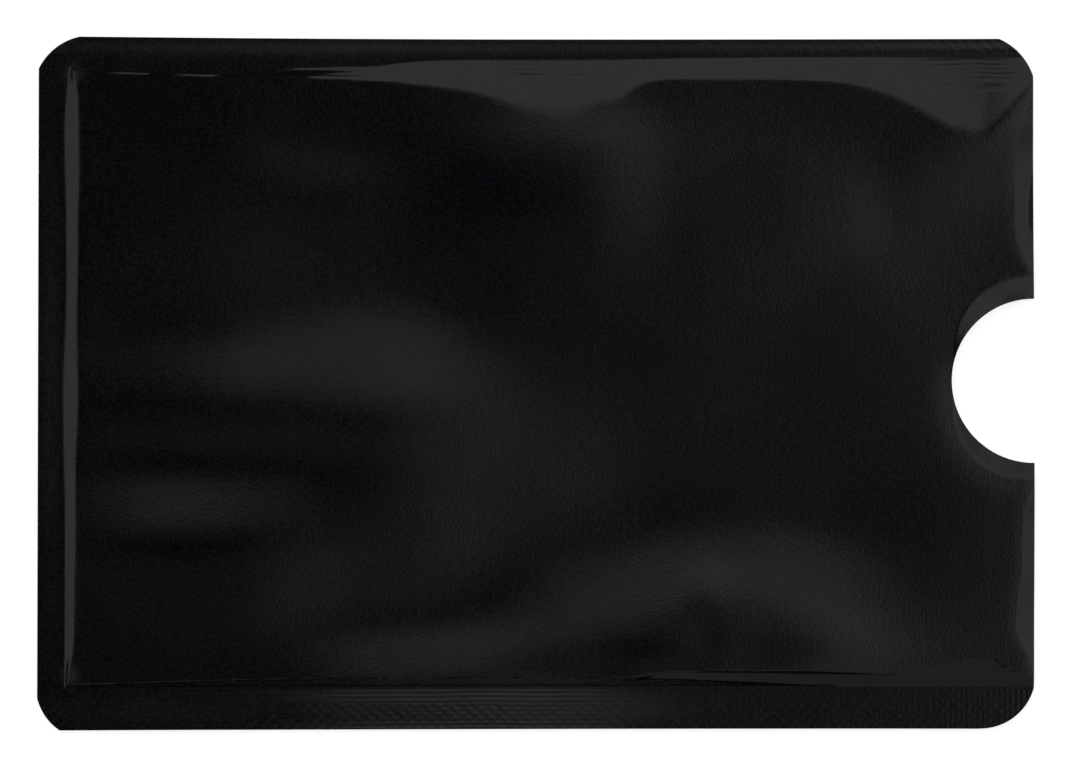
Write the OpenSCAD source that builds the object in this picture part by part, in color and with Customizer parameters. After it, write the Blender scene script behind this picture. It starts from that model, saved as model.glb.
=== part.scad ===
// Card sleeve of foil laminate: a flat pouch, welded on three sides and open at the mouth,
// with a half-round thumb notch. The closed end is at -X, the mouth at +X. The sleeve lies
// on the flat of its back wall, and the origin is under the middle of its outline.

/* [Card that the pocket is made for] */
// Length of the card
card_l = 85.6; // [60:0.1:120]
// Width of the card
card_w = 53.98; // [40:0.01:90]
// Thickness of the card
card_t = 0.76; // [0.3:0.01:2]

/* [Room round the card] */
// Play between the card and the flat of the pocket, over its whole width
card_play_w = 0.12; // [0:0.01:3]
// Play between the card and the two walls, over its whole thickness
card_play_t = 0.34; // [0.1:0.01:1.5]
// How far the card's front edge sits back from the mouth
mouth_margin = 1.4; // [0:0.1:10]

/* [Layers of the laminate] */
// Thickness of the glossy outer film
outer_film_t = 0.05; // [0.03:0.005:0.3]
// Thickness of the shielding foil
foil_t = 0.02; // [0.01:0.005:0.2]
// Thickness of the inner film that melts in the welds
seal_film_t = 0.07; // [0.03:0.005:0.3]

/* [Welds] */
// Width of the weld at the closed end
end_seal_w = 2.5; // [1:0.1:12]
// Width of the weld along the side at +Y
top_seal_w = 2.2; // [1:0.1:12]
// Width of the weld along the side at -Y
bottom_seal_w = 3.9; // [1:0.1:12]
// Width of the slope on which a wall climbs from a weld to its flat
climb_run = 1.5; // [0.5:0.1:6]

/* [Mouth] */
// Width of the strip along the mouth on which a wall bends inwards
lip_run = 2.2; // [0.5:0.1:6]
// Width of the ring round the notch on which a wall bends inwards
notch_lip_run = 1.7; // [0.5:0.1:6]
// How far each wall has come in at the mouth
lip_drop = 0.12; // [0.02:0.01:0.3]
// Radius of the thumb notch
notch_r = 7.5; // [3:0.1:20]
// How far the notch sits off the sleeve's middle, towards +Y
notch_off_middle = 0.3; // [-8:0.1:8]

/* [Corner punch] */
// Radius of the punch that rounds the corners
punch_r = 5.2; // [1:0.1:12]
// How far the punch ran past the end and the side, at the closed end's +Y corner
slip_end_top = [0.5, 0.1];
// The same at the closed end's -Y corner
slip_end_bottom = [0.1, 0.8];
// The same at the mouth's +Y corner
slip_mouth_top = [0.3, 0.5];
// The same at the mouth's -Y corner
slip_mouth_bottom = [0.1, 0.1];

/* [Hidden] */
$fn = 96;

// Flat field of each wall, and the sleeve's outline round it
flat_w = card_w + card_play_w;
sleeve_l = end_seal_w + climb_run + card_l + mouth_margin;
sleeve_w = bottom_seal_w + climb_run + flat_w + climb_run + top_seal_w;

// Places along the length
x_end = -sleeve_l / 2;
x_mouth = sleeve_l / 2;
x_weld = x_end + end_seal_w;
x_flat = x_weld + climb_run;
x_lip = x_mouth - lip_run;

// Places across the width
y_bottom = -sleeve_w / 2;
y_top = sleeve_w / 2;
y_bottom_weld = y_bottom + bottom_seal_w;
y_top_weld = y_top - top_seal_w;

// Heights above the plane in which the two laminates are welded together
flat_rise = (card_t + card_play_t) / 2;
lip_rise = flat_rise - lip_drop;
foil_level = seal_film_t;
outer_level = foil_level + foil_t;
wall_t = outer_level + outer_film_t;
weld_plane_z = flat_rise + wall_t;

// A climbing wall goes nearly straight up to the shoulder and rounds off to the flat there
shoulder_run = 0.75 * climb_run;
shoulder_rise = 0.86 * flat_rise;

// Room by which a cutting shape stands over what it cuts
over = 1;
far = 2 * (sleeve_l + sleeve_w);

// Outline as the cutting die leaves it: a rectangle whose corners are punched off
module outline() {
    difference() {
        translate([x_end, y_bottom]) square([sleeve_l, sleeve_w]);
        corner_waste(x_end, y_top, -1, 1, slip_end_top);
        corner_waste(x_end, y_bottom, -1, -1, slip_end_bottom);
        corner_waste(x_mouth, y_top, 1, 1, slip_mouth_top);
        corner_waste(x_mouth, y_bottom, 1, -1, slip_mouth_bottom);
        translate([x_mouth, notch_off_middle]) circle(notch_r);
    }
}

// What the punch takes off the corner at x, y, which points to side_x, side_y
module corner_waste(x, y, side_x, side_y, slip) {
    centre = [x - side_x * (punch_r - slip.x), y - side_y * (punch_r - slip.y)];
    reach = punch_r + over;
    translate(centre) difference() {
        translate([side_x < 0 ? -reach : 0, side_y < 0 ? -reach : 0]) square(reach);
        circle(punch_r);
    }
}

// Space under the front wall's surface that lies lift above its inner face.
// It is where three spaces meet: under the line along the sleeve, under the line
// across it, and under the cone that runs up from the notch.
module under_wall(lift, spare) {
    floor_z = -wall_t - spare;
    intersection() {
        rotate([90, 0, 0]) linear_extrude(sleeve_w + 2 * spare, center = true) polygon([
            [x_end - spare, floor_z],
            [x_end - spare, lift],
            [x_weld, lift],
            [x_weld + shoulder_run, lift + shoulder_rise],
            [x_flat, lift + flat_rise],
            [x_lip, lift + flat_rise],
            [x_mouth, lift + lip_rise],
            [x_mouth + spare, lift + lip_rise],
            [x_mouth + spare, floor_z]]);
        rotate([90, 0, 90]) linear_extrude(sleeve_l + 2 * spare, center = true) polygon([
            [y_bottom - spare, floor_z],
            [y_bottom - spare, lift],
            [y_bottom_weld, lift],
            [y_bottom_weld + shoulder_run, lift + shoulder_rise],
            [y_bottom_weld + climb_run, lift + flat_rise],
            [y_top_weld - climb_run, lift + flat_rise],
            [y_top_weld - shoulder_run, lift + shoulder_rise],
            [y_top_weld, lift],
            [y_top + spare, lift],
            [y_top + spare, floor_z]]);
        translate([x_mouth, notch_off_middle]) rotate_extrude() polygon([
            [0, floor_z],
            [0, lift + lip_rise],
            [notch_r, lift + lip_rise],
            [far, lift + lip_rise + (far - notch_r) * lip_drop / notch_lip_run],
            [far, floor_z]]);
    }
}

// One layer of the front wall, from one level above its inner face to another
module front_layer(from, to) {
    intersection() {
        translate([0, 0, -over]) linear_extrude(flat_rise + wall_t + 2 * over) outline();
        difference() {
            under_wall(to, over);
            under_wall(from, 2 * over);
        }
    }
}

// The inner film, which is a film of its own only where it isn't melted into a weld
module front_pocket_layer() {
    intersection() {
        front_layer(0, seal_film_t);
        translate([x_weld, y_bottom_weld, -over])
            cube([sleeve_l, y_top_weld - y_bottom_weld, flat_rise + wall_t + 2 * over]);
    }
}

// Strip of the weld from corner to corner of a box: both inner films melted into one
module weld(low_x, low_y, high_x, high_y) {
    translate([0, 0, weld_plane_z - seal_film_t]) linear_extrude(2 * seal_film_t) intersection() {
        outline();
        translate([low_x, low_y]) square([high_x - low_x, high_y - low_y]);
    }
}

module at_front() {
    translate([0, 0, weld_plane_z]) children();
}

module at_back() {
    translate([0, 0, weld_plane_z]) mirror([0, 0, 1]) children();
}

module front_outer_film() { color("#16171a") at_front() front_layer(outer_level, wall_t); }
module front_foil() { color("#c3c6c9") at_front() front_layer(foil_level, outer_level); }
module front_seal_film() { color("#8d9196") at_front() front_pocket_layer(); }

module back_outer_film() { color("#16171a") at_back() front_layer(outer_level, wall_t); }
module back_foil() { color("#c3c6c9") at_back() front_layer(foil_level, outer_level); }
module back_seal_film() { color("#8d9196") at_back() front_pocket_layer(); }

module closed_end_seal() {
    color("#6f7378") weld(x_end - over, y_bottom_weld, x_weld, y_top_weld);
}
module top_side_seal() {
    color("#6f7378") weld(x_end - over, y_top_weld, x_mouth + over, y_top + over);
}
module bottom_side_seal() {
    color("#6f7378") weld(x_end - over, y_bottom - over, x_mouth + over, y_bottom_weld);
}

front_outer_film();
front_foil();
front_seal_film();
back_outer_film();
back_foil();
back_seal_film();
closed_end_seal();
top_side_seal();
bottom_side_seal();
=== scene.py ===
# %% [markdown]
# # A shielding sleeve for one contactless card
#
# The object is a thin black pouch of foil laminate. Two walls lie on each other, a heat seal
# joins them along three sides, and the fourth side is the mouth, with a half-round thumb notch.
# Nothing on it is coloured or printed, so all that the eye has to go by is how the glossy film
# bends: a flat part mirrors the dark space above it and looks black, and each slope mirrors the
# bright surroundings and shows as a band. So this lesson spends most of its lines on the form of
# the film, and on a surrounding that is dark above and bright all round.
#
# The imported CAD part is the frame. It gives every size, and each of its nine nodes is replaced by
# a piece in the same place with a softer form.

import math

import bpy
import numpy as np
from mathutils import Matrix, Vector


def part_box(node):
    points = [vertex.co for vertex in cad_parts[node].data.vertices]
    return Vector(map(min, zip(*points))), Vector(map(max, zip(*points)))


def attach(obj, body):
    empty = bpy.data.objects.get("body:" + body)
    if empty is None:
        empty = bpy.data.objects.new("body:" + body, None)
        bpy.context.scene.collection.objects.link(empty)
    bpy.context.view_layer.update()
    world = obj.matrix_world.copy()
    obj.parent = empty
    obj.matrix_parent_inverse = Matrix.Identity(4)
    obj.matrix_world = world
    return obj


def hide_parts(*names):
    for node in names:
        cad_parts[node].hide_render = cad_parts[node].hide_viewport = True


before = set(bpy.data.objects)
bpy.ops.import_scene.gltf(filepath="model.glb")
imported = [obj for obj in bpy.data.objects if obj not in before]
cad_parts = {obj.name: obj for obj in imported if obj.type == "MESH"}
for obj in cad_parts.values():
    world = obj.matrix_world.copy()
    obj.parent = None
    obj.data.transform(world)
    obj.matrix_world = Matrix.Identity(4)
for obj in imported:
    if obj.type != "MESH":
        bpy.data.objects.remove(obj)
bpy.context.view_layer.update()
MM = 0.001

# %% [markdown]
# ## Sizes that the frame gives
#
# A copied number goes wrong as soon as the part changes, so the sizes are read off the nodes'
# boxes. The weld strips say where the two walls meet and how wide each weld is, and the layers
# say how high the film stands above the weld. From here on lengths are in millimetres, because
# the film is a twentieth of a millimetre thick, and the meshes turn them into metres.

# %% Read the sizes off the nodes


def node_box(node):
    low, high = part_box(node)
    return np.array(low) / MM, np.array(high) / MM


end_low, end_high = node_box("closed_end_seal")
upper_low, upper_high = node_box("top_side_seal")
lower_low, lower_high = node_box("bottom_side_seal")
outer_low, outer_high = node_box("front_outer_film")
inner_high = node_box("front_seal_film")[1]

X_END, X_MOUTH = end_low[0], outer_high[0]
Y_LOW, Y_HIGH = lower_low[1], upper_high[1]
X_WELD = end_high[0]
Y_LOW_WELD, Y_HIGH_WELD = lower_high[1], upper_low[1]
WELD_Z = (end_low[2] + end_high[2]) / 2
SEAL_T = (end_high[2] - end_low[2]) / 2
FOIL_LEVEL = SEAL_T
OUTER_LEVEL = outer_low[2] - WELD_Z
RISE = inner_high[2] - WELD_Z - SEAL_T
WALL_T = outer_high[2] - WELD_Z - RISE
print("outline", X_END, X_MOUTH, Y_LOW, Y_HIGH, "welds", X_WELD, Y_LOW_WELD, Y_HIGH_WELD)
print("weld plane", WELD_Z, "levels", FOIL_LEVEL, OUTER_LEVEL, WALL_T, "rise", RISE)

# %% [markdown]
# ## The form of the film, as a height over the plan
#
# A wall is one sheet that never folds back over itself, so its form is a height over each point
# of the plan. It could be sculpted, or draped by a cloth simulation. A height written as a sum of
# plain shapes is chosen here, because the same sum then carries all three layers of the wall, and
# every crease stays where it was put.
#
# Four helpers do the drawing: a soft step, the softened lower and higher of two heights, and a
# smooth line through a few stations, which is level at each crest.

# %% Helpers that draw in the plan


def ease(start, end, value):
    t = np.clip((value - start) / (end - start), 0.0, 1.0)
    return t * t * (3.0 - 2.0 * t)


def soft_min(a, b, blend):
    share = np.clip(0.5 + 0.5 * (b - a) / blend, 0.0, 1.0)
    return b * (1.0 - share) + a * share - blend * share * (1.0 - share)


def soft_max(a, b, blend):
    return -soft_min(-a, -b, blend)


def line_through(stations, along):
    place = np.array([s[0] for s in stations], float)
    value = np.array([s[1] for s in stations], float)
    step = np.diff(value) / np.diff(place)
    slope = np.concatenate([[step[0]], (step[1:] + step[:-1]) / 2, [step[-1]]])
    turns = np.concatenate([[False], step[1:] * step[:-1] <= 0, [False]])
    slope = np.where(turns, 0.0, slope)
    along = np.clip(along, place[0], place[-1])
    left = np.clip(np.searchsorted(place, along, side="right") - 1, 0, len(place) - 2)
    gap = place[left + 1] - place[left]
    t = (along - place[left]) / gap
    rise = value[left] * (1 + 2 * t) * (1 - t) ** 2 + value[left + 1] * t * t * (3 - 2 * t)
    lean = slope[left] * gap * t * (1 - t) ** 2 - slope[left + 1] * gap * t * t * (1 - t)
    return rise + lean


print("a soft step, a quarter of the way:", ease(0, 1, 0.25))

# %% [markdown]
# ### The outline is never quite straight
#
# Heat pulls the laminate in a little at the middle of the long welds, and the web slipped a touch
# under the cutting die. So all nine pieces are first made with straight edges, and at the very end
# one and the same small shift in the plan settles them. Everything between, the rows of the grid
# and the seams, can be drawn straight.

# %% Settle the plan
HIGH_EDGE = [(-45.5, 31.78), (-40, 31.74), (-21.6, 31.55), (-3.3, 31.45), (15, 31.46), (45.5, 31.56)]
LOW_EDGE = [(-45.5, -31.68), (-40, -31.66), (-21.6, -31.56), (15, -31.48), (45.5, -31.52)]
END_EDGE = [(-31.6, -45.62), (-25, -45.59), (24, -45.46), (31.6, -45.44)]
MOUTH_EDGE = [(-31.6, 45.50), (-25, 45.52), (-10, 45.57), (24, 45.43), (31.6, 45.42)]


def settled(x, y):
    across = (y - Y_LOW) / (Y_HIGH - Y_LOW)
    along = (x - X_END) / (X_MOUTH - X_END)
    low_shift = line_through(LOW_EDGE, x) - Y_LOW
    high_shift = line_through(HIGH_EDGE, x) - Y_HIGH
    end_shift = line_through(END_EDGE, y) - X_END
    mouth_shift = line_through(MOUTH_EDGE, y) - X_MOUTH
    new_x = x + (1 - along) * end_shift + along * mouth_shift
    new_y = y + (1 - across) * low_shift + across * high_shift
    return new_x, new_y


corner = settled(np.array([X_END]), np.array([Y_HIGH]))
print("the upper corner of the closed end settles at", [round(float(v[0]), 2) for v in corner])

# %% [markdown]
# ### The climb from the welds
#
# Where a wall leaves a weld it climbs by about half a millimetre. Where the climb is steep it
# mirrors the dark horizon and hardly shows; where it is gentle it mirrors the light and shows as a
# bright band. So two lines matter for each weld: the seam, where the climb starts, and the
# shoulder, where the wall has reached its height. Both are drawn through stations along the weld,
# and where they part, the band widens. The lower border is a steep foot up to a knee, then a gentle
# band whose slope also goes by stations, and then a steep rest up to the flat.
#
# The steep climbs are creases, so rows of the grid are laid along them, and the creases stay sharp.

# %% Stations of the three borders
HIGH_FOOT = 28.75
HIGH_CREASE = 28.15
HIGH_SEAM = [
    (-45.5, HIGH_FOOT), (-24, HIGH_FOOT), (-17.5, 28.95), (-13.8, 29.1), (-12.5, 29.34), (-8.8, 29.63),
    (-3.3, 29.73), (9.5, 29.77), (15, 29.88), (45.5, 29.98),
]
HIGH_SHOULDER = [
    (-45.5, HIGH_CREASE), (-24, HIGH_CREASE), (-17.5, 27.95), (-12.5, 27.75), (-8.6, 27.4), (-5.2, 26.9),
    (-2.4, 26.15), (0.3, 25.9), (4.0, 25.95), (5.8, 26.45), (7.6, 26.45), (9.0, 27.35), (9.9, 27.75),
    (13, 28.05), (23.2, 27.98), (28.6, 27.75), (30.5, 27.4), (32.8, 26.7), (35.5, 25.6), (37.8, 24.5),
    (39.6, 23.8), (41.0, 23.4), (42.4, 24.4), (43.3, 25.2), (44.2, 26.0), (45.5, 27.1),
]
END_SEAM = [
    (-27.9, -42.93), (-23.4, -42.93), (-14.2, -42.92), (-10.6, -42.96), (-6.9, -43.15), (-3.3, -43.19),
    (0.4, -43.24), (4.0, -43.1), (7.7, -42.93), (15.0, -42.92), (18.7, -43.04), (22.3, -43.15),
    (26.0, -42.94), (27.4, -42.78), (28.2, -42.7), (29.4, -42.65),
]
END_SHOULDER = [
    (-27.9, -42.72), (-26.5, -42.64), (-24.9, -42.36), (-23.4, -42.2), (-17.9, -42.15),
    (-10.6, -42.03), (-6.9, -41.87), (-3.3, -41.75), (0.4, -41.68), (4.0, -41.69), (7.7, -41.81),
    (11.4, -41.79), (15.0, -41.85), (18.7, -41.66), (22.3, -41.69), (26.0, -41.86), (27.4, -42.1),
    (28.2, -42.22), (29.4, -42.2),
]
LOW_KNEE = [
    (-45.5, -27.2), (9.0, -27.2), (10.3, -27.03), (11.5, -27.0), (14, -27.1), (19.5, -27.38),
    (24, -27.62), (28, -27.69), (45.5, -27.7),
]
LOW_SHOULDER = [
    (-45.5, -27.2), (9.0, -27.2), (10.3, -26.9), (11.5, -26.6), (14, -26.42), (19.5, -26.42),
    (24, -26.5), (32, -26.6), (33, -26.5), (34.5, -24.0), (45.5, -24.0),
]
LOW_SLOPE = [
    (8, 0.3), (11.3, 0.36), (14, 0.45), (19.5, 0.52), (28, 0.52), (32.5, 0.5), (33.7, 0.41), (35, 0.345),
    (36.4, 0.3), (37.8, 0.25), (39.1, 0.218), (40.5, 0.187), (41.9, 0.19), (43.3, 0.3), (45.5, 0.45),
]
middle = np.array([0.0])
for border, start, end in (
    ("upper", HIGH_SEAM, HIGH_SHOULDER), ("end", END_SEAM, END_SHOULDER), ("lower", LOW_KNEE, LOW_SHOULDER)
):
    width = line_through(end, middle) - line_through(start, middle)
    print(border, "band, half way along:", round(abs(float(width[0])), 2), "mm")

# %% [markdown]
# The closed end's climb is a share of the height, 0 on the weld and 1 on the flat, because the flat
# itself sags towards that end. The other two are heights. The lowest of the three counts, and how
# softly they meet decides whether a border is a crease or a rounded climb: the upper one is a
# crease at the left, roundest in the long lens-shaped highlight, and rounded again near the mouth.

# %% Climb along each border
END_CLIMB = [
    (-0.6, 0.0), (-0.25, 0.012), (0.0, 0.05), (0.12, 0.13), (0.88, 0.9), (1.0, 0.945), (1.35, 0.985),
    (1.9, 1.0),
]
STEEP = RISE / 0.6
END_SAG, END_SAG_RUN = 0.22, (-25, -42)
LOW_CORNER_SAG, LOW_CORNER_RUN = 0.07, (-8, -20)
HIGH_CORNER_SAG, HIGH_CORNER_RUN = -0.025, (24, 28)
LOW_CREASE, LOW_SOFT, LOW_SOFT_RUN = 0.002, 0.02, (8, 12)
HIGH_SHARP, HIGH_SOFT, HIGH_SOFT_RUN, MOUTH_SOFT_RUN = 0.003, 0.03, (-20, -12), (30, 37)
LENS_SOFT, LENS_RISE, LENS_FALL = 0.05, (-14, -3), (3, 12)


def end_share(x, y):
    seam = line_through(END_SEAM, y)
    return line_through(END_CLIMB, (x - seam) / (line_through(END_SHOULDER, y) - seam))


def end_climb(x, y, flat):
    low_corner = LOW_CORNER_SAG * ease(*LOW_CORNER_RUN, y)
    high_corner = HIGH_CORNER_SAG * ease(*HIGH_CORNER_RUN, y)
    sag = END_SAG + low_corner + high_corner
    return (flat - sag * ease(*END_SAG_RUN, x)) * end_share(x, y)


def low_climb(x, y):
    knee = line_through(LOW_KNEE, x)
    shoulder = line_through(LOW_SHOULDER, x)
    slope = line_through(LOW_SLOPE, x)
    foot = STEEP * (y - Y_LOW_WELD)
    knee_rise = STEEP * (knee - Y_LOW_WELD)
    band = knee_rise + slope * (y - knee)
    rest = knee_rise + slope * (shoulder - knee) + STEEP * (y - shoulder)
    return np.maximum(np.minimum(foot, band), rest)


def high_climb(x, y):
    seam = line_through(HIGH_SEAM, x)
    return RISE * (seam - y) / (seam - line_through(HIGH_SHOULDER, x))


def high_softness(x):
    lens = LENS_SOFT * (ease(*LENS_RISE, x) * (1 - ease(*LENS_FALL, x)))
    return HIGH_SHARP + HIGH_SOFT * ease(*HIGH_SOFT_RUN, x) + lens + HIGH_SOFT * ease(*MOUTH_SOFT_RUN, x)


def borders(x, y, flat):
    z = end_climb(x, y, flat)
    z = soft_min(z, low_climb(x, y), LOW_CREASE + LOW_SOFT * ease(*LOW_SOFT_RUN, x))
    z = soft_min(z, high_climb(x, y), high_softness(x))
    return np.maximum(z, 0.0)


inside = borders(middle, np.array([HIGH_CREASE - 1.0]), RISE)
print("a millimetre inside the upper crease the wall has climbed", round(float(inside[0]), 3), "mm")

# %% [markdown]
# ### The mouth
#
# The blade that cut the mouth and the notch bent the edge of the front wall. It left a lip on
# either side of the notch, whose inner border is drawn through a few stations, and a narrow ring
# round the notch itself. The ring is part of a shallow cone: it turns up above the notch and down
# below it. A wide soft slope lies round the lower half, and two cones of nearly the same radius
# leave a fifth of a millimetre of steep film between them there, which shows as a thin bright line.

# %% Lips and ring at the mouth
LIP_SLOPE, LIP_SOFT = 0.17, 0.15
LEAD_SLOPE, LEAD_WIDTH, LEAD_SOFT = 0.02, 0.9, 0.4
ARC_SHARPNESS = 8
UPPER_LIP = [
    (10.4, 45.8), (12.1, 44.55), (13.4, 44.1), (14.6, 43.9), (17.2, 43.92), (21.0, 43.9), (22.3, 44.15),
    (23.6, 44.55), (24.9, 44.85), (26.6, 45.8),
]
LOWER_LIP = [
    (-26.9, 45.8), (-25.0, 45.1), (-23.7, 44.6), (-22.4, 44.0), (-21.2, 43.98), (-19.9, 44.1),
    (-18.6, 44.3), (-17.3, 44.5), (-13.5, 44.52), (-12.2, 44.64), (-10.9, 45.1), (-9.9, 45.8),
]
RINGS = [
    # centre, radius, slope, softness, middle of the arc, its spread
    ((45.0, 3.04), 6.81, -0.12, 0.04, 118, 62),
    ((45.0, 3.04), 6.81, -0.06, 0.04, 170, 45),
    ((45.0, 3.04), 5.4, 0.04, 0.5, 80, 45),
    ((46.3, -1.15), 10.0, 0.042, 0.9, 222, 66),
    ((44.6, -2.15), 6.52, 0.14, 0.03, 232, 64),
    ((44.6, -2.15), 6.30, -0.12, 0.03, 232, 64),
    ((44.6, -2.15), 6.30, 0.03, 0.2, 280, 50),
]


def turned(x, y, centre, middle):
    turn = np.degrees(np.arctan2(y - centre[1], x - centre[0])) - middle
    return (turn + 180) % 360 - 180


def mouth_drop(x, y):
    drop = 0.0 * x
    for lip in (UPPER_LIP, LOWER_LIP):
        beyond = x - line_through(lip, y)
        bend = LIP_SLOPE * soft_max(beyond, 0.0 * x, LIP_SOFT)
        lead = LEAD_SLOPE * soft_max(beyond + LEAD_WIDTH, 0.0 * x, LEAD_SOFT)
        drop = drop + bend + lead
    for centre, radius, slope, softness, middle, spread in RINGS:
        inside = soft_max(radius - np.hypot(x - centre[0], y - centre[1]), 0.0 * x, softness)
        arc = np.exp(-((turned(x, y, centre, middle) / spread) ** ARC_SHARPNESS))
        drop = drop + slope * arc * inside
    return drop


lip_y = np.array([17.0, -20.0])
print("drop at the two lips:", mouth_drop(np.array([X_MOUTH, X_MOUTH]), lip_y).round(2), "mm")

# %% [markdown]
# ### Waves in the flat
#
# An empty sleeve isn't flat. Handling leaves soft steps, which show as pale clouds, because their
# slope is just enough to mirror the edge of the light. A step climbs quickly across its heading
# and comes back slowly. A rim does the same along an arc, as round the spot where a finger
# pressed. A swell is a low mound, or with a height below zero a hollow, and small pairs of them
# split one long highlight into two.

# %% Places of the steps, rims and swells
STEPS = [
    # place, heading, length, width, height, way back
    ((-17.5, 2.7), -2, 24, 11.0, 0.43, 13),
    ((-6.8, 0.5), -25, 14, 8.0, 0.09, 9),
    ((1.5, 0.6), -24, 15, 9.0, 0.07, 10),
    ((-33.0, 1.2), -3, 22, 8.0, 0.21, 9),
    ((-30.2, -10.9), 1, 26, 7.2, 0.36, 12),
    ((-19.5, 19.8), -6, 15, 4.6, 0.09, 7),
    ((-12.4, -24.7), 3, 23, 6.8, 0.31, 9),
    ((4.2, -19.6), 21, 23, 12.4, 0.46, 14),
    ((2.5, 24.2), 0, 17, 4.4, 0.06, 6),
    ((2.0, 20.6), 0, 20, 10.0, 0.12, 9),
    ((8.6, 18.2), -90, 20, 6.5, 0.06, 8),
    ((20.0, 14.5), -90, 21, 15.0, 0.14, 15),
    ((27.8, 17.2), -86, 12, 8.0, 0.12, 13),
    ((30.2, 16.0), -80, 8, 4.4, 0.04, 9),
    ((38.6, 17.6), 33, 21, 8.5, -0.20, 11),
]
RIMS = [
    # centre, radius, middle of the arc, its spread, width, height, way back
    ((18.8, -38.0), 21.6, 86, 33, 9.8, 0.42, 17),
]
SWELLS = [
    # place, size along, size across, height, heading
    ((-2.0, 29.1), 1.8, 0.9, 0.09, 0),
    ((41.0, 24.6), 5.0, 3.6, 0.08, 0),
    ((2.0, 20.5), 10.0, 9.0, 0.24, 0),
    ((14.0, -19.0), 15.0, 7.0, -0.16, 0),
    ((-15.0, -3.6), 6.0, 2.6, 0.05, 0),
    ((-7.5, -16.5), 7.0, 5.0, 0.08, 0),
    ((6.0, -27.3), 5.0, 3.0, -0.12, 0),
    ((0.6, -27.5), 3.6, 2.2, -0.09, 0),
    ((10.4, -24.9), 3.0, 2.2, 0.05, 0),
    ((15.4, -18.6), 1.8, 2.2, 0.05, 0),
    ((15.4, -22.6), 1.8, 2.2, -0.05, 0),
    ((19.4, -18.8), 4.0, 2.5, 0.03, 0),
    ((6.6, -13.0), 3.6, 2.8, 0.03, 0),
    ((28.0, -24.8), 6.0, 3.0, 0.14, 0),
]
print(len(STEPS), "steps,", len(RIMS), "rim and", len(SWELLS), "swells")

# %% Draw the waves
STEP_SOFT = 0.5
RIM_ENDS = (19, 9)
MOUTH_DROOP, DROOP_START, DROOP_SOFT = 0.012, 32, 6


def rounded_step(v, width, height, back):
    ramp = soft_min(v / (0.5 * width), 1.0 + 0.0 * v, STEP_SOFT)
    ramp = soft_max(ramp, -1.0 + 0.0 * v, STEP_SOFT)
    return height * ramp * np.exp(-((v / back) ** 2))


def along_and_across(x, y, place, heading):
    a = math.radians(heading)
    u = (x - place[0]) * math.cos(a) + (y - place[1]) * math.sin(a)
    v = -(x - place[0]) * math.sin(a) + (y - place[1]) * math.cos(a)
    return u, v


def step(x, y, place, heading, length, width, height, back):
    u, v = along_and_across(x, y, place, heading)
    return rounded_step(-v, width, height, back) * np.exp(-(np.abs(u / (0.5 * length)) ** 3))


def rim(x, y, centre, radius, middle, spread, width, height, back):
    turn = turned(x, y, centre, middle)
    inside = radius - np.hypot(x - centre[0], y - centre[1])
    rounded = rounded_step(inside, width, height, back) * ease(*RIM_ENDS, inside)
    return rounded * np.exp(-(np.abs(turn / spread) ** 3))


def swell(x, y, place, along, across, height, heading):
    u, v = along_and_across(x, y, place, heading)
    return height * np.exp(-((u / along) ** 2) - (v / across) ** 2)


def waves(x, y):
    z = 0.0 * x
    for values in STEPS:
        z = z + step(x, y, *values)
    for values in RIMS:
        z = z + rim(x, y, *values)
    for values in SWELLS:
        z = z + swell(x, y, *values)
    droop = MOUTH_DROOP * soft_max(x - DROOP_START, 0.0 * x, DROOP_SOFT)
    return z - droop


plan_x, plan_y = np.meshgrid(np.linspace(-40, 40, 41), np.linspace(-25, 25, 26))
print("waves from", waves(plan_x, plan_y).min().round(2), "to", waves(plan_x, plan_y).max().round(2), "mm")

# %% [markdown]
# ### Crinkles
#
# Along the upper weld the film shrank a little when it was sealed, and drew itself into ripples
# that run along the weld. They are finer than a hair, but on a bright climb each one shows as a
# dark streak, and on a dark one as a bright streak. One wavy pattern of lines makes them all, and a
# list of soft patches says where it shows and how deep it is. The last patch lies at the lower
# corner of the mouth.

# %% Crinkles along the upper weld
RIPPLE_PITCH = 0.42
RIPPLE_WANDER = [(0.05, 1.7, 0.0), (0.03, 0.6, 1.0)]
CRINKLES = [
    # place, size along, size across, depth
    ((-35.8, 28.4), 1.2, 0.2, 0.016),
    ((-31.2, 28.25), 1.4, 0.25, 0.010),
    ((-25.5, 28.2), 3.5, 0.3, 0.008),
    ((-20.0, 28.4), 4.0, 0.6, 0.012),
    ((-13.5, 28.4), 3.0, 0.5, 0.010),
    ((-2.0, 28.7), 2.6, 0.7, 0.019),
    ((3.5, 28.4), 4.0, 0.7, 0.010),
    ((15.5, 28.3), 6.5, 0.4, 0.020),
    ((28.0, 28.9), 5.0, 0.4, 0.014),
    ((36.0, 29.5), 7.0, 0.35, 0.022),
    ((37.0, 27.1), 4.0, 0.6, 0.017),
    ((42.0, 28.0), 2.0, 1.0, 0.014),
    ((43.0, -25.8), 2.0, 0.5, 0.014),
]


def wandering(x, terms):
    return sum(size * np.sin(x / length + shift) for size, length, shift in terms)


def crinkled(x, y):
    lines = np.cos(2 * math.pi * (y + wandering(x, RIPPLE_WANDER)) / RIPPLE_PITCH)
    breaks = 0.65 + 0.35 * np.sin(x / 0.7 + 2.5 * y)
    depth = 0.0 * x
    for place, along, across, most in CRINKLES:
        depth = depth + swell(x, y, place, along, across, most, 0)
    return depth * lines * breaks


print(len(CRINKLES), "patches of crinkles, the deepest", max(patch[3] for patch in CRINKLES), "mm")

# %% [markdown]
# The narrow weld itself isn't flat either: towards the mouth it stands up in a low roll between
# its seam and the cut edge, so that it catches the light on both sides.

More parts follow.
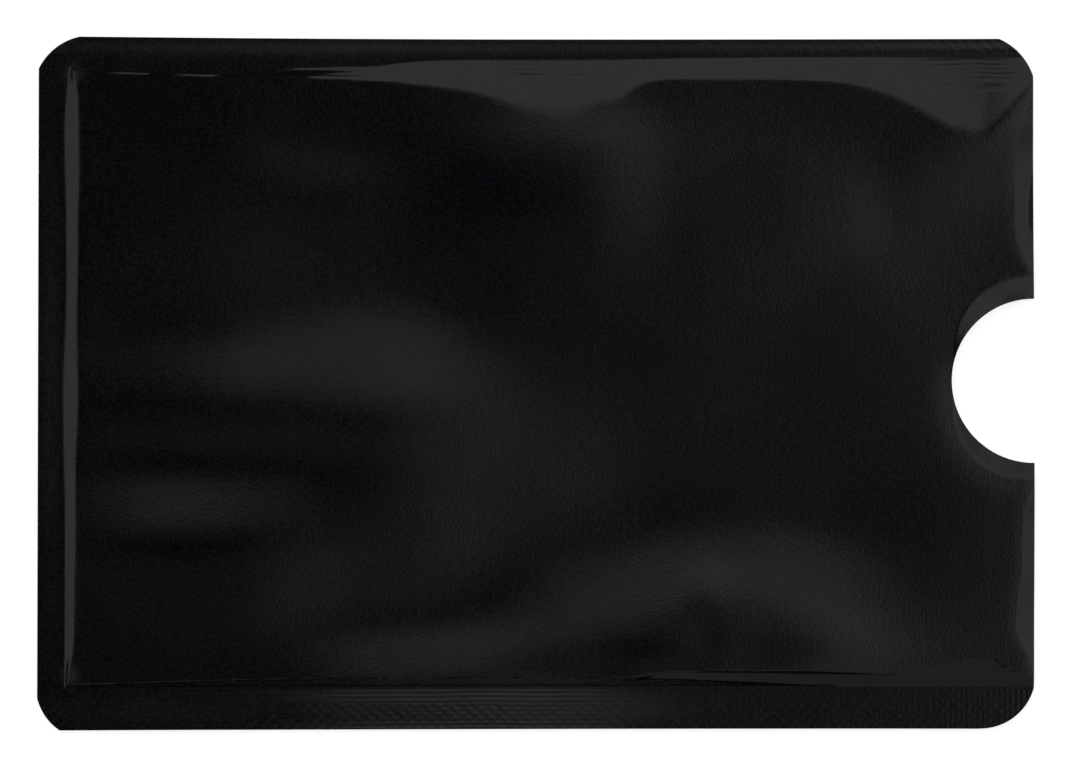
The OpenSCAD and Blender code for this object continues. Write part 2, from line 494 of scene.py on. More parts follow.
# %% Roll of the upper weld
ROLL_TOP = 30.55
ROLL_HALF = 0.85
ROLL_RISE = [(-45.5, 0.008), (0, 0.012), (12, 0.02), (28, 0.03), (37, 0.045), (45.5, 0.045)]


def weld_roll(x, y):
    share = np.clip(np.abs(y - ROLL_TOP) / ROLL_HALF, 0.0, 1.0)
    return line_through(ROLL_RISE, x) * (0.5 + 0.5 * np.cos(math.pi * share))


print("the roll stands", max(high for _, high in ROLL_RISE), "mm high at the mouth")

# %% [markdown]
# ### Haze
#
# Where the film was handled or creased it is scuffed by a hair, and mirrors less sharply. Such
# haze is no shape, so it is kept as a number on each point of the mesh, which the finish reads as
# extra roughness. Most patches of haze lie on the waves above, the others on the welds and at the
# closed end's corners.

# %% Patches of haze
HAZE = [
    # place, size along, size across, strength, heading
    ((-33.0, 14.0), 12.0, 7.0, 0.04, 0),
    ((-15.0, 3.0), 13.0, 8.0, 0.12, -14),
    ((-30.0, 2.4), 9.0, 3.0, 0.05, -4),
    ((-30.7, -10.4), 8.5, 2.2, 0.06, 1),
    ((-19.5, 19.8), 6.5, 3.0, 0.05, -6),
    ((-9.5, -24.4), 11.0, 3.4, 0.08, 4),
    ((5.0, -20.6), 8.0, 4.6, 0.11, 26),
    ((22.5, -18.0), 9.0, 4.0, 0.09, -20),
    ((5.0, 23.0), 9.0, 5.0, 0.04, 0),
    ((8.5, 18.5), 4.0, 9.0, 0.04, 0),
    ((27.0, 16.0), 8.0, 6.0, 0.05, 0),
    ((38.0, 17.0), 8.0, 8.0, 0.05, 20),
    ((40.0, -4.0), 5.0, 8.0, 0.04, 0),
    ((8.0, -2.0), 30.0, 12.0, 0.03, 0),
    ((2.0, -29.6), 12.5, 2.0, 0.25, 0),
    ((-17.0, -29.8), 6.0, 1.6, 0.08, 0),
    ((-36.0, -29.9), 12.0, 1.6, 0.08, 0),
    ((-16.0, 30.7), 34.0, 0.8, 0.16, 0),
    ((-44.4, -1.0), 1.0, 18.0, 0.10, 0),
    ((30.0, 30.6), 14.0, 0.8, 0.08, 0),
    ((-42.5, -26.7), 0.8, 1.0, 0.22, 0),
    ((-42.3, 28.3), 0.8, 1.0, 0.2, 0),
]


def haze(x, y):
    total_haze = 0.0 * x
    for values in HAZE:
        total_haze = total_haze + swell(x, y, *values)
    return total_haze


print("most haze on the flat:", haze(plan_x, plan_y).max().round(2))

# %% The whole form of the front wall


def front_rise(x, y):
    z = borders(x, y, RISE + waves(x, y)) - mouth_drop(x, y) + crinkled(x, y) + weld_roll(x, y)
    return np.maximum(z, 0.0)


heights = front_rise(plan_x, plan_y)
print("front wall from", heights.min().round(2), "to", heights.max().round(2), "mm over the welds")

# %% [markdown]
# ### The back wall
#
# The sleeve lies on its back wall, so that wall is pressed flat by its own weight and only its
# borders and its mouth bend. It has the same seams as the front wall.

# %% Form of the back wall
BACK_CLIMB = 1.3
BACK_SHOULDER_SOFT, BACK_SEAM_SOFT = 0.05, 0.02
BACK_LIP, BACK_LIP_WIDTH, BACK_LIP_SOFT = 0.05, 2.2, 0.3
OFF_TABLE = 0.0005


def back_rise(x, y):
    high = (line_through(HIGH_SEAM, x) - y) * RISE / BACK_CLIMB
    low = (y - Y_LOW_WELD) * RISE / BACK_CLIMB
    end = (x - X_WELD) * RISE / BACK_CLIMB
    z = RISE - OFF_TABLE + 0.0 * x
    for climb in (end, low, high):
        z = soft_min(z, climb, BACK_SHOULDER_SOFT)
    z = soft_max(z, 0.0 * z, BACK_SEAM_SOFT)
    lip = BACK_LIP * soft_max(x - X_MOUTH + BACK_LIP_WIDTH, 0.0 * x, BACK_LIP_SOFT)
    return np.minimum(np.maximum(z - lip, 0.0), RISE)


print("back wall stands", back_rise(plan_x, plan_y).max().round(4), "mm below the welds")

# %% [markdown]
# ### The print of the jaws
#
# The lower weld is made by a jaw with a mesh on its face, and the film keeps the print of it: pips
# in rows half a millimetre apart, each row shifted by half a pip. A wave along the weld times a
# wave across it is that lattice, and a slow wander of a tenth of a millimetre keeps it from looking
# ruled. Next to the seam and at the cut edge the print runs together into rows, and towards the
# mouth only upright ribs of it are left. The upper weld has traces of it.

# %% Print of the jaws
PIP_PITCH = 1.1
PIP_ROW = 0.475
ROW_PITCH = 0.42
RIB_PITCH = 0.5
JAW_WANDER = [(0.1, 3.1, 0.0), (0.07, 1.3, 2.0)]
PIP_DEPTH = [
    (-45.5, 0.002), (-27, 0.004), (-19, 0.009), (-13, 0.012), (-8, 0.02), (1, 0.022), (5, 0.014),
    (9, 0.006), (12, 0.0025), (45.5, 0.0025),
]
ROW_DEPTH = [
    (-45.5, 0.001), (-26, 0.005), (-19, 0.013), (-12, 0.022), (-2, 0.026), (3, 0.019), (8, 0.008),
    (13, 0.001),
]
RIB_DEPTH = [(8, 0.0), (14, 0.002), (36, 0.002), (42, 0.003), (45.5, 0.005)]
HIGH_PIP_DEPTH = 0.0012
SEAM_ROWS, EDGE_ROWS = (-29.5, -28.9), (-30.7, -31.1)
LOW_PRINT = (Y_LOW_WELD - 0.1, Y_LOW_WELD - 0.35)
HIGH_PRINT = (30.0, 30.3)


def jaw_print(x, y):
    wander = wandering(x, JAW_WANDER)
    along = np.cos(2 * math.pi * (x + 0.3 * wander) / PIP_PITCH)
    across = np.cos(math.pi * (y + 0.4 * wander) / PIP_ROW)
    pips = along * across * (0.75 + 0.25 * np.sin(x / 1.9 + 3.0 * y))
    rows = np.cos(2 * math.pi * (y + 0.3 * wander) / ROW_PITCH)
    breaks = 0.4 + 0.3 * np.sin(2.3 * x + 5.1 * y) + 0.3 * np.cos(2 * math.pi * y / ROW_PITCH + 1.3 * x)
    ribs = np.cos(2 * math.pi * (x + 0.5 * wander) / RIB_PITCH) * breaks
    near_seam = ease(*SEAM_ROWS, y)
    near_edge = ease(*EDGE_ROWS, y)
    row_share = np.maximum(near_seam, 0.7 * near_edge)
    print_low = line_through(PIP_DEPTH, x) * (1 - near_seam) * pips
    print_low = print_low + line_through(ROW_DEPTH, x) * (0.4 + 0.6 * row_share) * rows
    print_low = print_low + line_through(RIB_DEPTH, x) * ribs
    in_low = ease(*LOW_PRINT, y)
    in_high = ease(*HIGH_PRINT, y)
    print_high = HIGH_PIP_DEPTH * pips + line_through(RIB_DEPTH, x) * (0.6 * ribs + 0.8 * pips)
    return print_low * in_low + print_high * in_high


weld_x, weld_y = np.meshgrid(np.linspace(-5, 5, 101), np.linspace(Y_LOW, Y_LOW_WELD, 41))
print("print of the jaws:", np.ptp(jaw_print(weld_x, weld_y)).round(3), "mm from pit to pip")

# %% [markdown]
# ## The cutting die
#
# The maker welds a long web of laminate and then cuts each sleeve from it with one die, with four
# corner punches and a round one for the notch. The same is done here: a plain plate has the
# corners and the notch cut out of it, and then each layer is cut by that plate. The corner arcs
# stand a few tenths off the edges, so they meet them with a slight kink, as on the real one.

# %% Tools for object mode
PUNCH_SIDES = 128
PUNCH_LENGTH = 4


def deselect_all():
    bpy.ops.object.select_all(action="DESELECT")


def pick(piece):
    deselect_all()
    piece.select_set(True)
    bpy.context.view_layer.objects.active = piece


def apply_boolean(piece, tool, operation):
    pick(piece)
    cut = piece.modifiers.new("cut", "BOOLEAN")
    cut.operation = operation
    cut.solver = "EXACT"
    cut.object = tool
    bpy.ops.object.modifier_apply(modifier=cut.name)


def add_block(name, low, high):
    deselect_all()
    middle = [(a + b) / 2 * MM for a, b in zip(low, high)]
    bpy.ops.mesh.primitive_cube_add(size=1, location=middle)
    block = bpy.context.object
    block.name = name
    block.scale = [(b - a) * MM for a, b in zip(low, high)]
    bpy.ops.object.transform_apply(location=True, rotation=True, scale=True)
    return block


def add_punch(name, centre, radius):
    deselect_all()
    bpy.ops.mesh.primitive_cylinder_add(
        vertices=PUNCH_SIDES, radius=radius * MM, depth=PUNCH_LENGTH * MM,
        location=(centre[0] * MM, centre[1] * MM, 0),
    )
    bpy.context.object.name = name
    bpy.ops.object.transform_apply(location=True, rotation=True, scale=True)
    return bpy.context.object


def unsettled(place):
    x, y = settled(np.array([place[0]]), np.array([place[1]]))
    return 2 * place[0] - x[0], 2 * place[1] - y[0]


# %% [markdown]
# The corners and the notch are measured on the finished sleeve, so each centre is first moved back
# by as much as settling will move it forward.

# %% Make the die
CORNERS = [
    # side along, side across, centre, radius
    (-1, 1, (-40.57, 26.41), 5.44),
    (-1, -1, (-40.75, -27.50), 4.99),
    (1, 1, (40.13, 26.45), 5.56),
    (1, -1, (40.63, -26.46), 5.05),
]
NOTCH_CENTRE = (45.51, 0.29)
NOTCH_R = 7.51
DIE_HALF = 1.2
WASTE_REACH, WASTE_SPARE = 3, 0.4

die = add_block("die", (X_END, Y_LOW, -DIE_HALF), (X_MOUTH, Y_HIGH, DIE_HALF))
for side_x, side_y, centre, radius in CORNERS:
    cx, cy = unsettled(centre)
    far_x = cx + side_x * (radius + WASTE_REACH)
    far_y = cy + side_y * (radius + WASTE_REACH)
    waste_low = (min(cx, far_x), min(cy, far_y), -DIE_HALF - WASTE_SPARE)
    waste_high = (max(cx, far_x), max(cy, far_y), DIE_HALF + WASTE_SPARE)
    waste = add_block("waste", waste_low, waste_high)
    punch = add_punch("punch", (cx, cy), radius)
    apply_boolean(waste, punch, "DIFFERENCE")
    apply_boolean(die, waste, "DIFFERENCE")
    bpy.data.objects.remove(waste)
    bpy.data.objects.remove(punch)
notch_punch = add_punch("notch_punch", unsettled(NOTCH_CENTRE), NOTCH_R)
apply_boolean(die, notch_punch, "DIFFERENCE")
bpy.data.objects.remove(notch_punch)
print("die:", len(die.data.polygons), "faces")

# %% [markdown]
# ## One layer of film
#
# A layer starts as a grid of small squares. Its rows and columns are slid closer together where
# the film bends, along the seams and at the mouth, so that they are a tenth of a millimetre apart
# there, and half that at the lower crease, and the flat middle gets by with larger ones. Solidify
# gives the grid its thickness, the die cuts it, and only then is every point lifted to its place.
# In that order each step works on the simplest mesh: cutting comes while all is flat, and bending
# comes last.

# %% Rows and columns of the grid


def spaced(*runs):
    stations = [np.array([runs[0][0]])]
    for (start, cell), (end, _) in zip(runs[:-1], runs[1:]):
        cells = max(1, int(round((end - start) / cell)))
        stations.append(np.linspace(start, end, cells + 1)[1:])
    return np.concatenate(stations)


SPARE = 0.4
COLUMNS = spaced(
    # where a run of columns starts, their distance
    (X_END - SPARE, 0.45), (X_WELD - 0.8, 0.1), (X_WELD + 1.8, 0.68), (36.5, 0.3), (43.6, 0.15),
    (X_MOUTH + SPARE, 1),
)
ROWS = spaced(
    (Y_LOW - SPARE, 0.33), (Y_LOW_WELD, 0.1), (Y_LOW_WELD + 0.4, 0.05), (-26.6, 0.07), (-25.9, 0.2),
    (-24.3, 0.72), (23, 0.3), (27.7, 0.15), (HIGH_CREASE, 0.1), (HIGH_FOOT, 0.13), (Y_HIGH_WELD, 0.13),
    (Y_HIGH_WELD + 0.52, 0.3), (Y_HIGH + SPARE, 1),
)
print("grid:", len(COLUMNS), "columns,", len(ROWS), "rows")

# %% [markdown]
# The welds carry a print that is finer than the grid, and the notch has a ring, so the faces there
# are subdivided once more after the cut. Only the faces of the side that shows are picked, by their
# normal, and the print only lifts the points of that side.

# %% Make, cut and shape a layer
SAME_LEVEL = 1e-3
SMOOTH_BELOW = math.radians(30)
HIGH_WELD_FLAT = Y_HIGH_WELD + 0.5
RING_WIDTH = 2.2


def points_of(piece):
    flat = np.empty(len(piece.data.vertices) * 3)
    piece.data.vertices.foreach_get("co", flat)
    return flat.reshape(-1, 3) / MM


def move_points(piece, points):
    piece.data.vertices.foreach_set("co", (points * MM).ravel())
    piece.data.update()


def add_layer(name, columns, rows, low, high):
    deselect_all()
    bpy.ops.mesh.primitive_grid_add(
        x_subdivisions=len(columns) - 1, y_subdivisions=len(rows) - 1, size=MM
    )
    layer = bpy.context.object
    layer.name = name
    points = points_of(layer)
    column = np.rint((points[:, 0] + 0.5) * (len(columns) - 1)).astype(int)
    row = np.rint((points[:, 1] + 0.5) * (len(rows) - 1)).astype(int)
    move_points(layer, np.stack([columns[column], rows[row], high + 0.0 * points[:, 2]], axis=1))
    thickness = layer.modifiers.new("thickness", "SOLIDIFY")
    thickness.thickness = (high - low) * MM
    thickness.offset = -1
    bpy.ops.object.modifier_apply(modifier=thickness.name)
    return layer


def refine(layer, facing, wanted, cuts):
    pick(layer)
    mesh = layer.data
    for part in (mesh.vertices, mesh.edges, mesh.polygons):
        part.foreach_set("select", np.zeros(len(part), bool))
    for face in mesh.polygons:
        face.select = face.normal.z * facing > 0.5 and wanted(face.center.x / MM, face.center.y / MM)
    bpy.ops.object.mode_set(mode="EDIT")
    bpy.ops.mesh.select_mode(type="FACE")
    bpy.ops.mesh.subdivide(number_cuts=cuts)
    bpy.ops.object.mode_set(mode="OBJECT")


def in_low_weld(x, y):
    return y < Y_LOW_WELD


def in_high_weld(x, y):
    return y > HIGH_WELD_FLAT


def round_notch(x, y):
    return math.hypot(x - NOTCH_CENTRE[0], y - NOTCH_CENTRE[1]) < NOTCH_R + RING_WIDTH


def lift(layer, side, print_level=None):
    points = points_of(layer)
    x, y = points[:, 0], points[:, 1]
    rise = front_rise(x, y) if side > 0 else back_rise(x, y)
    z = WELD_Z + points[:, 2] + side * rise
    if print_level is not None:
        printed = np.abs(points[:, 2] - side * print_level) < SAME_LEVEL
        z = z + np.where(printed, side * jaw_print(x, y), 0.0)
    move_points(layer, np.stack([*settled(x, y), z], axis=1))


def keep_haze(layer):
    points = points_of(layer)
    values = haze(points[:, 0], points[:, 1])
    layer.data.attributes.new("haze", "FLOAT", "POINT").data.foreach_set("value", values)


def finish_layer(layer):
    pick(layer)
    bpy.ops.object.shade_smooth_by_angle(angle=SMOOTH_BELOW)
    size = np.array(layer.dimensions) / MM
    triangles = len(layer.data.loops) - 2 * len(layer.data.polygons)
    print(layer.name, triangles, "triangles, size", size.round(2))


# %% [markdown]
# ## The two walls
#
# Each wall has three layers. The outer film shows everywhere, so its welds get the fine squares
# that the jaws' print needs, and the front one, which faces the camera, the finest. The foil and
# the inner film only show at the cut edges, and they share the outer film's grid, so that no layer
# pokes through the next. The inner film ends where the welds begin.

# %% Build the layers of both walls
NEAR = 1e-6
FRONT, BACK = 1, -1
LOW_CUTS = {FRONT: 3, BACK: 2}
OTHER_CUTS = 2
POCKET_COLUMNS = COLUMNS[COLUMNS > X_WELD - NEAR]
POCKET_ROWS = ROWS[(ROWS > Y_LOW_WELD - NEAR) & (ROWS < Y_HIGH_WELD + NEAR)]


def add_wall_layer(name, side, level, top, columns=COLUMNS, rows=ROWS, printed=False):
    low, high = sorted((side * level, side * top))
    layer = add_layer(name, columns, rows, low, high)
    apply_boolean(layer, die, "INTERSECT")
    if printed:
        refine(layer, side, in_low_weld, LOW_CUTS[side])
        refine(layer, side, in_high_weld, OTHER_CUTS)
    if printed and side == FRONT:
        refine(layer, side, round_notch, OTHER_CUTS)
    lift(layer, side, top if printed else None)
    finish_layer(layer)
    return layer


front_gloss = add_wall_layer("front_gloss_film", FRONT, OUTER_LEVEL, WALL_T, printed=True)
keep_haze(front_gloss)
front_shield = add_wall_layer("front_shield_foil", FRONT, FOIL_LEVEL, OUTER_LEVEL)
front_inner = add_wall_layer("front_inner_film", FRONT, 0.0, FOIL_LEVEL, POCKET_COLUMNS, POCKET_ROWS)
back_gloss = add_wall_layer("back_gloss_film", BACK, OUTER_LEVEL, WALL_T, printed=True)
back_shield = add_wall_layer("back_shield_foil", BACK, FOIL_LEVEL, OUTER_LEVEL)
back_inner = add_wall_layer("back_inner_film", BACK, 0.0, FOIL_LEVEL, POCKET_COLUMNS, POCKET_ROWS)

# %% [markdown]
# ## The welds
#
# In a weld the two inner films have melted into one strip. It lies between the foils and only
# its cut edge shows, along three sides, so a strip of the same grid will do.

# %% Build the weld strips
END_COLUMNS = COLUMNS[COLUMNS < X_WELD + NEAR]
LOW_ROWS = ROWS[ROWS < Y_LOW_WELD + NEAR]
HIGH_ROWS = ROWS[ROWS > Y_HIGH_WELD - NEAR]


def add_weld(name, columns, rows):
    strip = add_layer(name, columns, rows, -SEAL_T, SEAL_T)
    apply_boolean(strip, die, "INTERSECT")
    points = points_of(strip)
    x, y = points[:, 0], points[:, 1]
    rise = np.where(points[:, 2] > 0, front_rise(x, y), -back_rise(x, y))
    move_points(strip, np.stack([*settled(x, y), WELD_Z + points[:, 2] + rise], axis=1))
    finish_layer(strip)
    return strip


end_weld = add_weld("end_weld", END_COLUMNS, POCKET_ROWS)
upper_weld = add_weld("upper_weld", COLUMNS, HIGH_ROWS)
lower_weld = add_weld("lower_weld", COLUMNS, LOW_ROWS)
bpy.data.objects.remove(die)

# %% [markdown]
# ## Finishes
#
# The outer film is polyester, nearly black with a cold tint, and glossy. Film comes off the roll
# with fine lines along the web, so its gloss is drawn out across the sleeve: noise stretched
# along Y does that, both in the roughness and in a bump of a few thousandths of a millimetre. A
# finer grain on top of it speckles the colour, the roughness and the bump, and haze calms it.
#
# A node's colour, noise and range are the same few steps in every finish, so they are helpers.

# %% Helpers for materials


def new_material(name):
    material = bpy.data.materials.new(name)
    material.use_nodes = True
    tree = material.node_tree
    shader = next(n for n in tree.nodes if n.type == "BSDF_PRINCIPLED")
    return material, tree, shader


def add_node(tree, kind, **settings):
    node = tree.nodes.new(kind)
    for name, value in settings.items():
        setattr(node, name, value)
    return node


def link_colour(tree, shader, share, first, second):
    tree.links.new(between(tree, share, first, second), shader.inputs["Base Color"])


def link_roughness(tree, shader, value):
    tree.links.new(value, shader.inputs["Roughness"])


def stretched_noise(tree, per_mm, detail, roughness=0.5):
    place = add_node(tree, "ShaderNodeTexCoord")
    mapping = add_node(tree, "ShaderNodeMapping")
    mapping.inputs["Scale"].default_value = [v / MM for v in per_mm]
    noise = add_node(tree, "ShaderNodeTexNoise")
    noise.inputs["Scale"].default_value = 1.0
    noise.inputs["Detail"].default_value = detail
    noise.inputs["Roughness"].default_value = roughness
    tree.links.new(place.outputs["Object"], mapping.inputs["Vector"])
    tree.links.new(mapping.outputs["Vector"], noise.inputs["Vector"])
    return noise.outputs["Fac"]


def to_range(tree, value, low, high, from_low=0.3, from_high=0.7):
    node = add_node(tree, "ShaderNodeMapRange")
    node.inputs["From Min"].default_value = from_low
    node.inputs["From Max"].default_value = from_high
    node.inputs["To Min"].default_value = low
    node.inputs["To Max"].default_value = high
    tree.links.new(value, node.inputs["Value"])
    return node.outputs["Result"]


def between(tree, share, first, second):
    node = add_node(tree, "ShaderNodeMix", data_type="RGBA")
    node.inputs["A"].default_value = (*first, 1)
    node.inputs["B"].default_value = (*second, 1)
    tree.links.new(share, node.inputs["Factor"])
    return node.outputs["Result"]


def total(tree, first, second):
    node = add_node(tree, "ShaderNodeMath", operation="ADD")
    tree.links.new(first, node.inputs[0])
    tree.links.new(second, node.inputs[1])
    return node.outputs["Value"]


def add_bump(tree, shader, height, depth_mm, below=None):
    bump = add_node(tree, "ShaderNodeBump")
    bump.inputs["Distance"].default_value = depth_mm * MM
    tree.links.new(height, bump.inputs["Height"])
    if below is not None:
        tree.links.new(below, bump.inputs["Normal"])
    tree.links.new(bump.outputs["Normal"], shader.inputs["Normal"])
    return bump.outputs["Normal"]


# %% Glossy black film
FILM_DARK, FILM_PALE = (0.0, 0.0008, 0.0022), (0.0036, 0.0050, 0.0064)
FILM_IOR = 1.4
LINES_DEPTH, GRAIN_DEPTH = 0.0025, 0.0075
GRAIN_SPAN = (0.35, 0.65)


def gloss_film():
    material, tree, shader = new_material("gloss_film")
    streaks = stretched_noise(tree, (2.2, 0.35, 0.4), 3.0)
    clouds = stretched_noise(tree, (0.09, 0.12, 0.1), 2.0)
    grain = stretched_noise(tree, (4.4, 3.6, 4.0), 1.0)
    speckle = total(tree, to_range(tree, grain, 0.0, 0.8, *GRAIN_SPAN), to_range(tree, clouds, 0.0, 0.2))
    link_colour(tree, shader, speckle, FILM_DARK, FILM_PALE)
    rough = total(tree, to_range(tree, streaks, 0.06, 0.08), to_range(tree, clouds, 0.0, 0.02))
    rough = total(tree, rough, to_range(tree, grain, 0.0, 0.03, *GRAIN_SPAN))
    scuffs = add_node(tree, "ShaderNodeAttribute", attribute_name="haze").outputs["Fac"]
    link_roughness(tree, shader, total(tree, rough, scuffs))
    shader.inputs["IOR"].default_value = FILM_IOR
    lines = add_bump(tree, shader, streaks, LINES_DEPTH)
    calm = to_range(tree, scuffs, 1.0, 0.25, 0.06, 0.14)
    fine = add_node(tree, "ShaderNodeMath", operation="MULTIPLY")
    tree.links.new(grain, fine.inputs[0])
    tree.links.new(calm, fine.inputs[1])
    add_bump(tree, shader, fine.outputs["Value"], GRAIN_DEPTH, lines)
    return material


# %% [markdown]
# ### What only shows at the cut edges
#
# The foil is rolled aluminium, brushed along the roll, so its noise is stretched along X. The inner
# film is a satin grey plastic with soft clouds, and where it melted it is darker and duller.

# %% Foil, inner film and melted weld
FOIL_DARK, FOIL_PALE = (0.72, 0.73, 0.75), (0.84, 0.85, 0.86)
INNER_DARK, INNER_PALE = (0.46, 0.47, 0.49), (0.54, 0.55, 0.57)
WELD_DARK, WELD_PALE = (0.30, 0.31, 0.33), (0.42, 0.43, 0.45)
INNER_IOR = 1.5
BRUSH_DEPTH, INNER_DEPTH, MELT_DEPTH = 0.002, 0.002, 0.006


def shield_foil():
    material, tree, shader = new_material("shield_foil")
    rolling = stretched_noise(tree, (0.3, 9.0, 9.0), 3.0)
    link_colour(tree, shader, rolling, FOIL_DARK, FOIL_PALE)
    shader.inputs["Metallic"].default_value = 1.0
    link_roughness(tree, shader, to_range(tree, rolling, 0.24, 0.36))
    add_bump(tree, shader, rolling, BRUSH_DEPTH)
    return material


def inner_film():
    material, tree, shader = new_material("inner_film")
    clouds = stretched_noise(tree, (0.5, 0.5, 0.5), 4.0)
    link_colour(tree, shader, clouds, INNER_DARK, INNER_PALE)
    link_roughness(tree, shader, to_range(tree, clouds, 0.30, 0.42))
    shader.inputs["IOR"].default_value = INNER_IOR
    add_bump(tree, shader, stretched_noise(tree, (4, 4, 4), 2.0), INNER_DEPTH)
    return material


def melted_weld():
    material, tree, shader = new_material("melted_weld")
    melt = stretched_noise(tree, (1.2, 1.2, 3.0), 5.0, 0.6)
    link_colour(tree, shader, melt, WELD_DARK, WELD_PALE)
    link_roughness(tree, shader, to_range(tree, melt, 0.5, 0.7))
    add_bump(tree, shader, melt, MELT_DEPTH)
    return material


# %% Give every piece its finish and its place in the frame


def place_in_frame(piece, material, node):
    piece.data.materials.clear()
    piece.data.materials.append(material)
    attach(piece, "root")
    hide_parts(node)


gloss, foil, inner, melted = gloss_film(), shield_foil(), inner_film(), melted_weld()
place_in_frame(front_gloss, gloss, "front_outer_film")
place_in_frame(front_shield, foil, "front_foil")
place_in_frame(front_inner, inner, "front_seal_film")
place_in_frame(back_gloss, gloss, "back_outer_film")
place_in_frame(back_shield, foil, "back_foil")
place_in_frame(back_inner, inner, "back_seal_film")
place_in_frame(end_weld, melted, "closed_end_seal")
place_in_frame(upper_weld, melted, "top_side_seal")
place_in_frame(lower_weld, melted, "bottom_side_seal")
print("finishes:", [material.name for material in (gloss, foil, inner, melted)])

# %% [markdown]
# ## The table
#
# The sleeve lies on a white table that is lit so well that it shows no tone of its own. Light
# enough to do that would also bleach the film, so the table is a pale diffuse sheet to the light,
# and the camera and the reflections see a glow on top of it that brings it up to white. Its
# diffuse half still darkens where the sleeve shades it, so the shadow stays.

# %% Table
TABLE_SIZE = 6
TABLE_DROP = 0.00002
TABLE_COLOUR = (0.8, 0.8, 0.8)
TABLE_GLOW = 0.7

deselect_all()
bpy.ops.mesh.primitive_plane_add(size=TABLE_SIZE, location=(0, 0, -TABLE_DROP))
table = bpy.context.object
table.name = "table"
bpy.ops.object.transform_apply(location=True, rotation=True, scale=True)
table_finish = bpy.data.materials.new("table_finish")
table_finish.use_nodes = True
tree = table_finish.node_tree
tree.nodes.clear()
sheet = add_node(tree, "ShaderNodeBsdfDiffuse")
sheet.inputs["Color"].default_value = (*TABLE_COLOUR, 1)
rays = add_node(tree, "ShaderNodeLightPath")
seen = total(tree, rays.outputs["Is Camera Ray"], rays.outputs["Is Glossy Ray"])
seen = total(tree, seen, rays.outputs["Is Transmission Ray"])
strength = to_range(tree, seen, 0.0, TABLE_GLOW, 0.0, 1.0)
glow = add_node(tree, "ShaderNodeEmission")
tree.links.new(strength, glow.inputs["Strength"])
both = add_node(tree, "ShaderNodeAddShader")
output = add_node(tree, "ShaderNodeOutputMaterial")
tree.links.new(sheet.outputs["BSDF"], both.inputs[0])
tree.links.new(glow.outputs["Emission"], both.inputs[1])
tree.links.new(both.outputs["Shader"], output.inputs["Surface"])
table.data.materials.append(table_finish)
print("table:", TABLE_SIZE, "m square,", TABLE_DROP / MM, "mm under the sleeve")

# %% [markdown]
# ## Light
#
# The sleeve was lit by large soft lights all round, with nothing bright straight above, where the
# camera hangs. A world that depends only on the direction does the same: dark round a point near
# the zenith, bright from a dozen degrees off it to half way down, and dark again towards the
# horizon. The side at the foot of the picture is dimmer. Under it a flat film is black, a slope
# of a few degrees is grey and one of eight degrees or more is as bright as it can be.
#
# The camera itself sees plain white behind the table, and reflections see the rings.

# %% World
DARK_TOWARDS = (-0.079, 0.0, 1.0)
RING = [
    # degrees off the dark point, brightness
    (0.0, 0.02), (1.5, 0.025), (2.8, 0.04), (4.5, 0.12), (6.0, 0.16), (7.7, 0.22), (10.0, 0.42),
    (13.0, 0.75), (16.0, 1.0), (58.0, 1.0), (65.0, 0.08), (75.0, 0.05), (90.0, 0.05),
]
LIGHT_COLOUR = (1.0, 0.93, 0.915)
DIM_SIDE = (0.0, -1.0, 0.0)
DIM_BY = 0.55
DIM_FROM, DIM_FULL = 0.02, 0.22

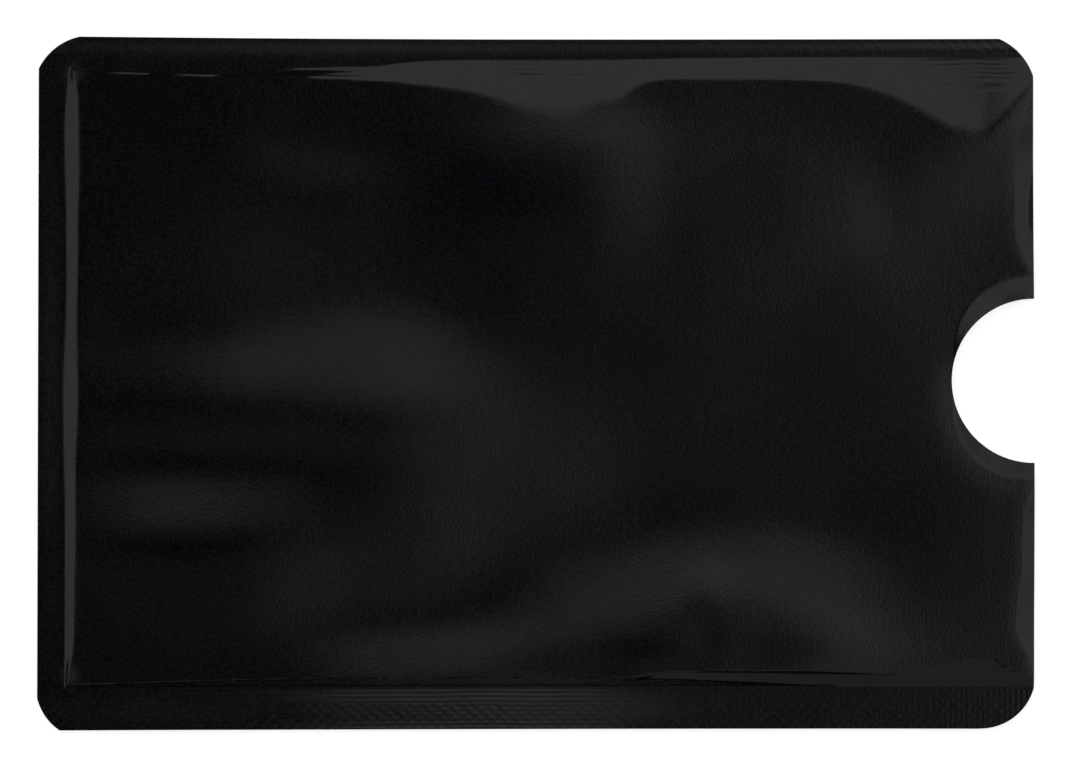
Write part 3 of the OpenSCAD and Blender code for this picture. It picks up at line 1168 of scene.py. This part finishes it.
world = bpy.data.worlds.new("soft_studio")
bpy.context.scene.world = world
world.use_nodes = True
tree = world.node_tree
tree.nodes.clear()
direction = add_node(tree, "ShaderNodeTexCoord").outputs["Generated"]
length = math.sqrt(sum(v * v for v in DARK_TOWARDS))
towards = add_node(tree, "ShaderNodeVectorMath", operation="DOT_PRODUCT")
towards.inputs[1].default_value = [v / length for v in DARK_TOWARDS]
tree.links.new(direction, towards.inputs[0])
angle = add_node(tree, "ShaderNodeMath", operation="ARCCOSINE")
tree.links.new(towards.outputs["Value"], angle.inputs[0])
share = to_range(tree, angle.outputs["Value"], 0.0, 1.0, 0.0, math.pi / 2)
ring = add_node(tree, "ShaderNodeValToRGB")
stops = ring.color_ramp.elements
while len(stops) < len(RING):
    stops.new(1.0)
for stop, (degrees, level) in zip(stops, RING):
    stop.position = degrees / 90
    stop.color = [level * c for c in LIGHT_COLOUR] + [1]
tree.links.new(share, ring.inputs["Fac"])
down = add_node(tree, "ShaderNodeVectorMath", operation="DOT_PRODUCT")
down.inputs[1].default_value = DIM_SIDE
tree.links.new(direction, down.inputs[0])
dimming = to_range(tree, down.outputs["Value"], 1.0, 1.0 - DIM_BY, DIM_FROM, DIM_FULL)
lit = add_node(tree, "ShaderNodeVectorMath", operation="SCALE")
tree.links.new(ring.outputs["Color"], lit.inputs[0])
tree.links.new(dimming, lit.inputs["Scale"])
studio = add_node(tree, "ShaderNodeBackground")
tree.links.new(lit.outputs["Vector"], studio.inputs["Color"])
backdrop = add_node(tree, "ShaderNodeBackground")
backdrop.inputs["Color"].default_value = (1, 1, 1, 1)
rays = add_node(tree, "ShaderNodeLightPath")
choice = add_node(tree, "ShaderNodeMixShader")
tree.links.new(rays.outputs["Is Camera Ray"], choice.inputs["Fac"])
tree.links.new(studio.outputs["Background"], choice.inputs[1])
tree.links.new(backdrop.outputs["Background"], choice.inputs[2])
output = add_node(tree, "ShaderNodeOutputWorld")
tree.links.new(choice.outputs["Shader"], output.inputs["Surface"])
bpy.context.scene.view_settings.view_transform = "Standard"
print("world:", len(RING), "rings, brightest", max(level for _, level in RING))

# %% [markdown]
# ## Camera
#
# The picture was taken from straight above with a long lens, so the sides of the sleeve don't
# show. The distance follows from the width that the picture takes in.

# %% Camera
LENS = 300.0
SENSOR = 36.0
PICTURE_WIDTH = 97.94
SUBJECT_Z = 1.2
NEAREST = 0.01

distance = PICTURE_WIDTH * LENS / SENSOR
deselect_all()
bpy.ops.object.camera_add(location=(0, 0, (SUBJECT_Z + distance) * MM), rotation=(0, 0, 0))
camera = bpy.context.object
camera.data.lens = LENS
camera.data.sensor_width = SENSOR
camera.data.clip_start = NEAREST
bpy.context.scene.camera = camera
print("camera stands", round(distance), "mm above the sleeve")
